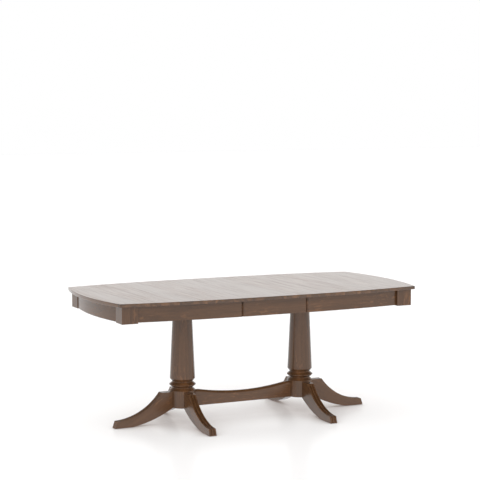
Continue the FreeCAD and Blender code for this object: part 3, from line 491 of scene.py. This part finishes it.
@dataclass
class Top:
    """The two halves of the top and the leaf, of boards glued edge to edge across the table."""

    halves: tuple[str, ...] = ("left_top", "right_top")
    leaf: str = "leaf_top"
    board_width: float = 0.115
    gloss: Span = (0.06, 0.25)
    coat: float = 0.35

    def dress(self) -> None:
        """Stain the boards, which run across the table."""
        looks = {"board_width": self.board_width, "roughness": self.gloss, "coat": self.coat}
        wood = StainedWood("top_boards", Grain.ACROSS_TABLE.value, **looks).material()
        for node in (*self.halves, self.leaf):
            dress(node, wood)


@dataclass
class Skirt:
    """The aprons under the top and the corner posts between them."""

    sides: tuple[str, ...] = ("left", "right")
    faces: tuple[str, ...] = ("front", "back")

    def dress(self) -> None:
        """Stain the aprons along their length and the posts upright."""
        along = StainedWood("side_aprons", Grain.ALONG_TABLE.value).material()
        across = StainedWood("end_aprons", Grain.ACROSS_TABLE.value).material()
        upright = StainedWood("corner_posts", Grain.UPRIGHT.value).material()
        for face in self.faces:
            dress(f"leaf_{face}_apron", along)
            for side in self.sides:
                dress(f"{side}_{face}_apron", along)
                dress(f"{side}_{face}_post", upright)
        for side in self.sides:
            dress(f"{side}_end_apron", across)


@dataclass
class Pedestals:
    """The turned columns, their sabre legs and the stretcher between them."""

    sides: tuple[str, ...] = ("left", "right")
    legs: tuple[str, ...] = ("outer", "front", "back")
    leg_slope: float = math.radians(27.0)
    # The stain is made lighter on the pedestal pieces: partly the stain's own tone, partly painted light
    # that makes up for the shade under the top.
    column_tone: float = 1.1
    leg_tone: float = 1.25
    stretcher_tone: float = 1.3
    stretcher_shift: Triple = (0.4, 0.2, 0.1)

    def leg_turn(self, leg: str) -> Triple:
        """The turn that brings a leg's fibres, which slope down to its toe, onto X.

        Args:
            leg: The leg's name.

        Returns:
            The turn as angles about X, Y and Z.
        """
        low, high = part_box(leg)
        size = high - low
        middle = (low + high) / 2
        if size.x > size.y:
            slope = self.leg_slope if middle.x > 0 else -self.leg_slope
            return Euler((0.0, -slope, 0.0)).to_matrix().to_euler()[:]
        slope = self.leg_slope if middle.y > 0 else -self.leg_slope
        level = Euler((0.0, 0.0, -RIGHT_ANGLE)).to_matrix()
        return (Euler((0.0, -slope, 0.0)).to_matrix() @ level).to_euler()[:]

    def dress(self) -> None:
        """Stain the columns upright, the legs along their slope and the stretcher along the table, each a
        lighter copy of the stain that is partly painted light for the shade under the top.
        """
        turned = StainedWood("turned_columns", Grain.UPRIGHT.value, tone=self.column_tone).material()
        for side in self.sides:
            dress(f"{side}_column", turned)
            for leg in self.legs:
                name = f"{side}_{leg}_leg"
                wood = StainedWood(f"{name}_wood", self.leg_turn(name), tone=self.leg_tone)
                dress(name, wood.material())
        looks = {"shift": self.stretcher_shift, "tone": self.stretcher_tone}
        dress("stretcher", StainedWood("stretcher_wood", Grain.ALONG_TABLE.value, **looks).material())


@dataclass
class Slides:
    """The hidden rails, runners, plates, blocks, racks and pinions."""

    sides: tuple[str, ...] = ("left", "right")
    faces: tuple[str, ...] = ("front", "back")

    def dress(self) -> None:
        """Leave the slides in plain wood and the gears in nylon."""
        along = PlainWood("slide_wood", Grain.ALONG_TABLE.value).material()
        across = PlainWood("plate_wood", Grain.ACROSS_TABLE.value).material()
        nylon = Nylon("gear_nylon").material()
        for face in self.faces:
            dress(f"{face}_rail", along)
            dress(f"{face}_pinion", nylon)
            for side in self.sides:
                dress(f"{side}_{face}_runner", along)
                dress(f"{side}_{face}_rack", nylon)
        for side in self.sides:
            dress(f"{side}_top_plate", across)
            dress(f"{side}_glue_blocks", along)
            dress(f"{side}_apron_dowels", along)
        dress("leaf_glue_blocks", along)
        dress("slide_stops", along)
        dress("foot_glides", nylon)


@dataclass(frozen=True)
class Seat:
    """Where one fastener sits: the middle of its first face, and the way it points from there."""

    place: Vector
    aim: Vector
    length: float


def islands(node: str) -> list[np.ndarray]:
    """Split a CAD node into its separate pieces.

    Args:
        node: The node's name.

    Returns:
        The points of each piece.
    """
    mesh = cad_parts[node].data
    points = np.empty(len(mesh.vertices) * 3)
    mesh.vertices.foreach_get("co", points)
    points = points.reshape(-1, 3)
    merged = np.unique(np.round(points, MERGE_DIGITS), axis=0, return_inverse=True)[1].ravel()
    edges = np.empty(len(mesh.edges) * 2, dtype=int)
    mesh.edges.foreach_get("vertices", edges)
    ends = merged[edges].reshape(-1, 2)
    labels = np.arange(merged.max() + 1)
    settled = False
    while not settled:
        least = labels[ends].min(axis=1)
        spread = labels.copy()
        np.minimum.at(spread, ends[:, 0], least)
        np.minimum.at(spread, ends[:, 1], least)
        settled = bool((spread == labels).all())
        labels = spread
    piece = labels[merged]
    return [points[piece == label] for label in np.unique(piece)]


class Lie(Enum):
    """Which side of a fastener's box its axis follows."""

    LONGEST = "longest"
    SHORTEST = "shortest"


def seat_of(points: np.ndarray, lie: Lie) -> Seat:
    """Work out how a fastener sits from its points.

    Args:
        points: The points of the fastener's CAD solid.
        lie: Which side of the box its axis follows.

    Returns:
        The seat, with the wider end first.
    """
    low, high = points.min(axis=0), points.max(axis=0)
    size = high - low
    axis = int(size.argmax() if lie is Lie.LONGEST else size.argmin())
    middle = (low + high) / 2
    across = np.delete(np.abs(points - middle), axis, axis=1).max(axis=1)
    end = size[axis] / END_PARTS
    near_low = points[:, axis] < low[axis] + end
    near_high = points[:, axis] > high[axis] - end
    head_low = across[near_low].max() >= across[near_high].max()
    aim = np.zeros(3)
    aim[axis] = 1.0 if head_low else -1.0
    return Seat(Vector(middle - aim * size[axis] / 2), Vector(aim), float(size[axis]))


class FastenerTree:
    """A Geometry Nodes tree that makes one fastener and sets a copy of it on every seat."""

    core_share = 0.74
    crest_share = 0.24
    core_sides = 20
    crest_sides = 4
    turn_steps = 14

    def __init__(self, name: str, sizes: dict[str, float]) -> None:
        """Open the tree with one named input for each size.

        Args:
            name: The tree's name.
            sizes: Each size in metres, by the name of its input.
        """
        self.tree = bpy.data.node_groups.new(name, "GeometryNodeTree")
        self.sheet = NodeSheet(self.tree)
        face = self.tree.interface
        face.new_socket("Seats", in_out="INPUT", socket_type="NodeSocketGeometry")
        face.new_socket("Finish", in_out="INPUT", socket_type="NodeSocketMaterial")
        self.sizes = sizes
        for size in sizes:
            face.new_socket(size, in_out="INPUT", socket_type="NodeSocketFloat")
        face.new_socket("Pieces", in_out="OUTPUT", socket_type="NodeSocketGeometry")
        self.inputs = self.sheet.add("NodeGroupInput").outputs

    def times(self, size: str, share: float) -> Socket:
        """A share of one of the named sizes."""
        return self.sheet.sum("MULTIPLY", self.inputs[size], share)

    def lifted(self, geometry: Socket, height: Socket) -> Socket:
        """Geometry moved up its own axis."""
        lift = self.sheet.add("ShaderNodeCombineXYZ", Z=height).outputs["Vector"]
        moved = self.sheet.add("GeometryNodeTransform", Geometry=geometry, Translation=lift)
        return moved.outputs["Geometry"]

    def cylinder(self, sides: int, radius: Socket, depth: Socket) -> Socket:
        """A cylinder about the axis, with its middle at the seat."""
        shape = {"Vertices": sides, "Radius": radius, "Depth": depth}
        return self.sheet.add("GeometryNodeMeshCylinder", **shape).outputs["Mesh"]

    def carved(self, operation: str, *meshes: Socket) -> Socket:
        """Meshes joined by one boolean operation; a difference takes the others from the first."""
        node = self.sheet.add("GeometryNodeMeshBoolean", {"operation": operation})
        for number, mesh in enumerate(meshes):
            first = number == 0 and operation == "DIFFERENCE"
            self.sheet.feed(node, "Mesh_1" if first else "Mesh_2", mesh)
        return node.outputs["Mesh"]

    def thread(self, start: Socket, length: Socket) -> list[Socket]:
        """A core with a thread wound round it.

        Args:
            start: Where along the axis the thread starts.
            length: How long the thread is.

        Returns:
            The meshes of the core and of the thread.
        """
        sheet = self.sheet
        core = self.times("Shank Radius", self.core_share)
        middle = sheet.sum("ADD", start, sheet.sum("MULTIPLY", length, 0.5))
        turns = sheet.sum("DIVIDE", length, self.inputs["Pitch"])
        ways = {"Start_Radius": core, "End_Radius": core, "Height": length}
        spiral = sheet.add("GeometryNodeCurveSpiral", Resolution=self.turn_steps, Rotations=turns, **ways)
        crest = self.times("Shank Radius", self.crest_share)
        section = {"Resolution": self.crest_sides, "Radius": crest}
        ridge = sheet.add("GeometryNodeCurvePrimitiveCircle", **section).outputs["Curve"]
        wound = sheet.add(
            "GeometryNodeCurveToMesh", Curve=spiral.outputs["Curve"], Profile_Curve=ridge, Fill_Caps=True
        )
        rod = self.cylinder(self.core_sides, core, length)
        return [self.lifted(rod, middle), self.lifted(wound.outputs["Mesh"], start)]

    def close(self, *meshes: Socket) -> None:
        """Join the fastener's meshes and set a copy on every seat."""
        sheet = self.sheet
        joined = sheet.add("GeometryNodeJoinGeometry")
        for mesh in meshes:
            sheet.feed(joined, "Geometry", mesh)
        aim = sheet.add("GeometryNodeInputNamedAttribute", {"data_type": "FLOAT_VECTOR"}, Name="aim")
        way = next(socket for socket in aim.outputs if socket.name == "Attribute" and socket.enabled)
        turn = sheet.add("FunctionNodeAlignRotationToVector", {"axis": "Z"}, Vector=way)
        copies = sheet.add(
            "GeometryNodeInstanceOnPoints", Points=self.inputs["Seats"],
            Instance=joined.outputs["Geometry"], Rotation=turn.outputs["Rotation"],
        )
        real = sheet.add("GeometryNodeRealizeInstances", Geometry=copies.outputs["Instances"])
        finished = sheet.add(
            "GeometryNodeSetMaterial", Geometry=real.outputs["Geometry"], Material=self.inputs["Finish"]
        )
        sheet.add("NodeGroupOutput", Pieces=finished.outputs["Geometry"])

    def make(self, node: str, seats: list[Seat], finish: bpy.types.Material, body: str, slot: str) -> None:
        """Make the fasteners that stand for one CAD node.

        Args:
            node: The CAD node.
            seats: Where each fastener sits.
            finish: Their material.
            body: The body that they ride on.
            slot: Not used.
        """
        points = bpy.data.meshes.new(f"{node}_seats")
        points.from_pydata([seat.place for seat in seats], [], [])
        aims = points.attributes.new("aim", "FLOAT_VECTOR", "POINT")
        aims.data.foreach_set("vector", [value for seat in seats for value in seat.aim])
        holder = bpy.data.objects.new(f"{node}_seats", points)
        bpy.context.scene.collection.objects.link(holder)
        modifier = holder.modifiers.new("fasteners", "NODES")
        modifier.node_group = self.tree
        for item in self.tree.interface.items_tree:
            if item.name in self.sizes:
                modifier[item.identifier] = self.sizes[item.name]
            elif item.name == "Finish":
                modifier[item.identifier] = finish
        shown = holder.evaluated_get(bpy.context.evaluated_depsgraph_get())
        mesh = bpy.data.meshes.new_from_object(shown)
        bpy.data.objects.remove(holder)
        piece = bpy.data.objects.new(f"{node}_detailed", mesh)
        bpy.context.scene.collection.objects.link(piece)
        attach(piece, body)
        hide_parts(node)
        LOG.info("%s: %d pieces, %d faces", piece.name, len(seats), len(mesh.polygons))


@dataclass
class WoodScrews:
    """Countersunk wood screws with a cross recess, one group for each CAD node."""

    head_radius: float = 0.0045
    head_height: float = 0.0028
    shank_radius: float = 0.00225
    pitch: float = 0.0018
    recess_share: float = 0.62
    slot_share: float = 0.16
    recess_depth: float = 1.3
    tip_share: float = 2.4
    head_sides: int = 40

    def tree(self, name: str, length: float) -> FastenerTree:
        """Build the tree for screws of one length.

        Args:
            name: The tree's name.
            length: The screws' length.

        Returns:
            The tree.
        """
        sizes = {
            "Length": length, "Head Radius": self.head_radius, "Head Height": self.head_height,
            "Shank Radius": self.shank_radius, "Pitch": self.pitch,
        }
        made = FastenerTree(name, sizes)
        sheet = made.sheet
        head = sheet.add(
            "GeometryNodeMeshCone", Vertices=self.head_sides, Radius_Top=made.inputs["Shank Radius"],
            Radius_Bottom=made.inputs["Head Radius"], Depth=made.inputs["Head Height"],
        ).outputs["Mesh"]
        long = made.times("Head Radius", 2 * self.recess_share)
        thin = made.times("Head Radius", 2 * self.slot_share)
        deep = made.times("Head Height", self.recess_depth)
        arms = []
        for width, depth in ((long, thin), (thin, long)):
            size = sheet.add("ShaderNodeCombineXYZ", X=width, Y=depth, Z=deep).outputs["Vector"]
            arms.append(sheet.add("GeometryNodeMeshCube", Size=size).outputs["Mesh"])
        head = made.carved("DIFFERENCE", head, *arms)
        start = made.inputs["Head Height"]
        tip = made.times("Shank Radius", self.tip_share)
        straight = sheet.sum("SUBTRACT", sheet.sum("SUBTRACT", made.inputs["Length"], start), tip)
        core = made.times("Shank Radius", made.core_share)
        cone = {"Vertices": made.core_sides, "Radius_Top": 0.0, "Radius_Bottom": core, "Depth": tip}
        point = sheet.add("GeometryNodeMeshCone", **cone).outputs["Mesh"]
        top = sheet.sum("ADD", start, straight)
        made.close(head, made.lifted(point, top), *made.thread(start, straight))
        return made


@dataclass
class Bolts:
    """Threaded rods in the drums, with chamfered nuts and washers inside."""

    radius: float = 0.004
    pitch: float = 0.00125
    nut_flat: float = 0.0065
    nut_height: float = 0.0065
    washer_radius: float = 0.008
    washer_thick: float = 0.0016
    bore_gap: float = 0.0001
    chamfer_reach: float = 1.235
    chamfer_sides: int = 48
    chamfer_rings: int = 24
    nut_sides: int = 6
    bore_sides: int = 28
    bore_share: float = 2.0
    washer_sides: int = 48
    bare_turns: float = 2.0

    def rod_tree(self, length: float) -> FastenerTree:
        """Build the tree for the rods, which are threaded all along."""
        sizes = {"Length": length, "Shank Radius": self.radius, "Pitch": self.pitch}
        made = FastenerTree("threaded_rod", sizes)
        threaded = made.sheet.sum("SUBTRACT", made.inputs["Length"], made.times("Pitch", self.bare_turns))
        made.close(*made.thread(made.inputs["Pitch"], threaded))
        return made

    def nut_tree(self) -> FastenerTree:
        """Build the tree for hexagon nuts with both ends chamfered."""
        sizes = {"Flat": self.nut_flat, "Height": self.nut_height, "Bore": self.radius + self.bore_gap}
        made = FastenerTree("hexagon_nut", sizes)
        corner = made.times("Flat", 1 / math.cos(math.pi / self.nut_sides))
        prism = made.cylinder(self.nut_sides, corner, made.inputs["Height"])
        reach = made.times("Flat", self.chamfer_reach)
        rounds = {"Segments": self.chamfer_sides, "Rings": self.chamfer_rings, "Radius": reach}
        ball = made.sheet.add("GeometryNodeMeshUVSphere", **rounds)
        rounded = made.carved("INTERSECT", prism, ball.outputs["Mesh"])
        bore = made.cylinder(self.bore_sides, made.inputs["Bore"], made.times("Height", self.bore_share))
        made.close(made.lifted(made.carved("DIFFERENCE", rounded, bore), made.times("Height", 0.5)))
        return made

    def washer_tree(self) -> FastenerTree:
        """Build the tree for flat washers."""
        bore_radius = self.radius + self.bore_gap
        sizes = {"Radius": self.washer_radius, "Height": self.washer_thick, "Bore": bore_radius}
        made = FastenerTree("flat_washer", sizes)
        disc = made.cylinder(self.washer_sides, made.inputs["Radius"], made.inputs["Height"])
        bore = made.cylinder(self.bore_sides, made.inputs["Bore"], made.times("Height", self.bore_share))
        made.close(made.lifted(made.carved("DIFFERENCE", disc, bore), made.times("Height", 0.5)))
        return made


@dataclass
class Fasteners:
    """All screws, bolts, nuts, washers and pins."""

    steel: Metal = Metal("plated_steel", (0.36, 0.36, 0.37), (0.55, 0.55, 0.56), (0.28, 0.42))
    brass: Metal = Metal("turned_brass", (0.52, 0.36, 0.13), (0.72, 0.53, 0.22), (0.22, 0.34))
    sides: tuple[str, ...] = ("left", "right")
    screw_nodes: tuple[tuple[str, str], ...] = (
        ("left_block_screws", "left_half"), ("left_runner_screws", "left_half"),
        ("right_block_screws", "right_half"), ("right_runner_screws", "right_half"),
        ("leaf_block_screws", "leaf"), ("plate_screws", "base"), ("rail_screws", "base"),
    )

    def dress(self) -> None:
        """Make the screws and bolts in plated steel and turn the pins in brass."""
        steel = self.steel.material()
        brass = self.brass.material()
        for node, body in self.screw_nodes:
            seats = [seat_of(points, Lie.LONGEST) for points in islands(node)]
            WoodScrews().tree(f"{node}_tree", seats[0].length).make(node, seats, steel, body, "steel")
        bolts = Bolts()
        rods = [seat_of(points, Lie.LONGEST) for points in islands("leg_bolts")]
        bolts.rod_tree(rods[0].length).make("leg_bolts", rods, steel, "base", "steel")
        for node, tree in (("leg_nuts", bolts.nut_tree()), ("leg_washers", bolts.washer_tree())):
            seats = [seat_of(points, Lie.SHORTEST) for points in islands(node)]
            tree.make(node, seats, steel, "base", "steel")
        dress("pinion_pins", steel)
        for side in self.sides:
            dress(f"{side}_leaf_pins", brass)


@dataclass(frozen=True)
class Lamp:
    """A broad, even light from one direction, such as a wall of softboxes gives."""

    name: str
    level: float
    spread: float
    lean: Triple


@dataclass
class Studio:
    """A white floor, soft light and the camera."""

    floor_half: float = 40.0
    floor_scales: Triple = (2.0, 2.0, 2.0)
    floor_roughness: Span = (0.7, 0.8)
    floor_colour: Colour = (0.80, 0.80, 0.80)
    # Painted shade: the floor, as the camera sees it, darkens towards a warm grey where ambient occlusion
    # finds the legs, drums and stretcher close by.
    painted_floor_shade: Colour = (0.34, 0.275, 0.245)
    # A warm tint that only shows in the floor's shade, as painted bounce light from the wood.
    painted_bounce_tint: Colour = (1.0, 0.986, 0.98)
    shade_reach: float = 0.46
    shade_span: Span = (0.12, 0.95)
    floor_glow: float = 0.47
    glow_level: float = 1.18
    mirrored_glow: float = 0.9
    floor_sheen: float = 0.165
    sheen_roughness: float = 0.2
    low_sky: float = 1.25
    high_sky: float = 0.75
    sky_rise: float = 0.6
    backdrop_top: float = 0.19
    ceiling_start: float = 0.42
    ceiling: float = 0.25
    mirrored_tint: Colour = (1.0, 0.972, 0.955)
    lamps: tuple[Lamp, ...] = (
        Lamp("soft_light", 0.9, math.radians(60.0), (math.radians(-18.0), 0.0, 0.0)),
        Lamp("front_fill", 0.85, math.radians(50.0), (math.radians(78.0), 0.0, math.radians(-25.0))),
    )
    camera_place: Triple = (-3.8547, -7.9875, 1.8783)
    camera_dip: float = math.radians(5.331)
    camera_heading: float = math.radians(-25.68)
    sensor: float = 36.0
    image_side: float = 480.0
    focal_pixels: float = 1512.675

    def seen(self, sheet: NodeSheet) -> Socket:
        """Whether a ray shows the background itself, straight or in a reflection."""
        path = sheet.add("ShaderNodeLightPath").outputs
        mirrored = sheet.sum("MAXIMUM", path["Is Glossy Ray"], path["Is Transmission Ray"])
        return sheet.sum("MAXIMUM", path["Is Camera Ray"], mirrored)

    def build_floor(self) -> None:
        """Lay the floor, which is white to look at, keeps the table's shadow and mirrors it softly, with
        painted shade darkening it near the legs, drums and stretcher.
        """
        half = self.floor_half
        corners = [(-half, -half, 0), (half, -half, 0), (half, half, 0), (-half, half, 0)]
        mesh = bpy.data.meshes.new("floor")
        mesh.from_pydata(corners, [], [(0, 1, 2, 3)])
        floor = bpy.data.objects.new("floor", mesh)
        bpy.context.scene.collection.objects.link(floor)
        material = bpy.data.materials.new("floor_paint")
        material.use_nodes = True
        sheet = NodeSheet(material.node_tree)
        seen = self.seen(sheet)
        direct = sheet.add("ShaderNodeLightPath").outputs["Is Camera Ray"]
        place = sheet.add("ShaderNodeTexCoord").outputs["Object"]
        matt = sheet.remap(sheet.noise(place, self.floor_scales), *NOISE_SPAN, *self.floor_roughness)
        # Painted shade: ambient occlusion darkens the camera's view of the floor near the table's legs,
        # drums and stretcher.
        reach = {"Color": WHITE, "Distance": self.shade_reach}
        open_sky = sheet.add("ShaderNodeAmbientOcclusion", **reach).outputs["AO"]
        clear = sheet.remap(open_sky, *self.shade_span, 0.0, 1.0)
        shown = sheet.mix(direct, WHITE, sheet.mix(clear, self.painted_floor_shade, WHITE))
        colour = sheet.mix(seen, self.floor_colour, shown)
        paint = sheet.add("ShaderNodeBsdfDiffuse", Color=colour, Roughness=matt)
        # The glow carries the painted shade, with a warm tint of painted bounce light that only shows
        # where the floor is shaded.
        warm = sheet.mix(direct, shown, sheet.mix(1.0, shown, self.painted_bounce_tint, "MULTIPLY"))
        level = sheet.remap(direct, 0.0, 1.0, 1.0, self.glow_level)
        glow = sheet.add("ShaderNodeEmission", Color=warm, Strength=level)
        share = sheet.remap(direct, 0.0, 1.0, self.mirrored_glow, self.floor_glow)
        lit = sheet.add(
            "ShaderNodeMixShader", Fac=sheet.sum("MULTIPLY", seen, share),
            Shader=paint.outputs["BSDF"], Shader_001=glow.outputs["Emission"],
        )
        mirror = {"Color": WHITE, "Roughness": self.sheen_roughness}
        sheen = sheet.add("ShaderNodeBsdfAnisotropic", **mirror)
        both = sheet.add(
            "ShaderNodeMixShader", Fac=sheet.sum("MULTIPLY", direct, self.floor_sheen),
            Shader=lit.outputs["Shader"], Shader_001=sheen.outputs["BSDF"],
        )
        sheet.add("ShaderNodeOutputMaterial", Surface=both.outputs["Shader"])
        mesh.materials.append(material)

    def build_sky(self) -> None:
        """Surround the table with plain white, under a ceiling that is grey in reflections."""
        world = bpy.data.worlds.new("studio_white")
        bpy.context.scene.world = world
        world.use_nodes = True
        sheet = NodeSheet(world.node_tree)
        way = sheet.add("ShaderNodeTexCoord").outputs["Generated"]
        height = sheet.add("ShaderNodeSeparateXYZ", Vector=way).outputs["Z"]
        level = sheet.remap(height, 0.0, self.sky_rise, self.low_sky, self.high_sky)
        light = sheet.add("ShaderNodeBackground", Color=WHITE, Strength=level)
        overhead = sheet.remap(height, self.backdrop_top, self.ceiling_start, 1.0, self.ceiling)
        direct = sheet.add("ShaderNodeLightPath").outputs["Is Camera Ray"]
        shown = sheet.sum("MAXIMUM", direct, overhead)
        tint = sheet.mix(direct, self.mirrored_tint, WHITE)
        white = sheet.add("ShaderNodeBackground", Color=tint, Strength=shown)
        both = sheet.add(
            "ShaderNodeMixShader", Fac=self.seen(sheet),
            Shader=light.outputs["Background"], Shader_001=white.outputs["Background"],
        )
        sheet.add("ShaderNodeOutputWorld", Surface=both.outputs["Shader"])

    def build_lamps(self) -> None:
        """Light the table softly from above and a little behind, with a fill from the front."""
        for lamp in self.lamps:
            data = bpy.data.lights.new(lamp.name, "SUN")
            data.energy = lamp.level
            data.angle = lamp.spread
            holder = bpy.data.objects.new(lamp.name, data)
            holder.rotation_euler = lamp.lean
            holder.visible_glossy = False
            bpy.context.scene.collection.objects.link(holder)

    def build_camera(self) -> None:
        """Stand the camera where the photograph was taken from."""
        data = bpy.data.cameras.new("camera")
        data.sensor_width = self.sensor
        data.lens = self.sensor * self.focal_pixels / self.image_side
        camera = bpy.data.objects.new("camera", data)
        camera.location = self.camera_place
        camera.rotation_euler = (RIGHT_ANGLE - self.camera_dip, 0.0, self.camera_heading)
        bpy.context.scene.collection.objects.link(camera)
        bpy.context.scene.camera = camera

    def build(self) -> None:
        """Set up the floor, the light and the camera."""
        self.build_floor()
        self.build_sky()
        self.build_lamps()
        self.build_camera()
        bpy.context.scene.view_settings.view_transform = "Standard"
        LOG.info("studio: floor, sky, %d lamps and camera", len(self.lamps))


def main() -> None:
    """Dress every sub-assembly and set up the studio."""
    logging.basicConfig(level=logging.INFO, format="%(name)s: %(message)s")
    for assembly in (Top(), Skirt(), Pedestals(), Slides(), Fasteners()):
        assembly.dress()
    Studio().build()


if __name__ == "__main__":
    main()
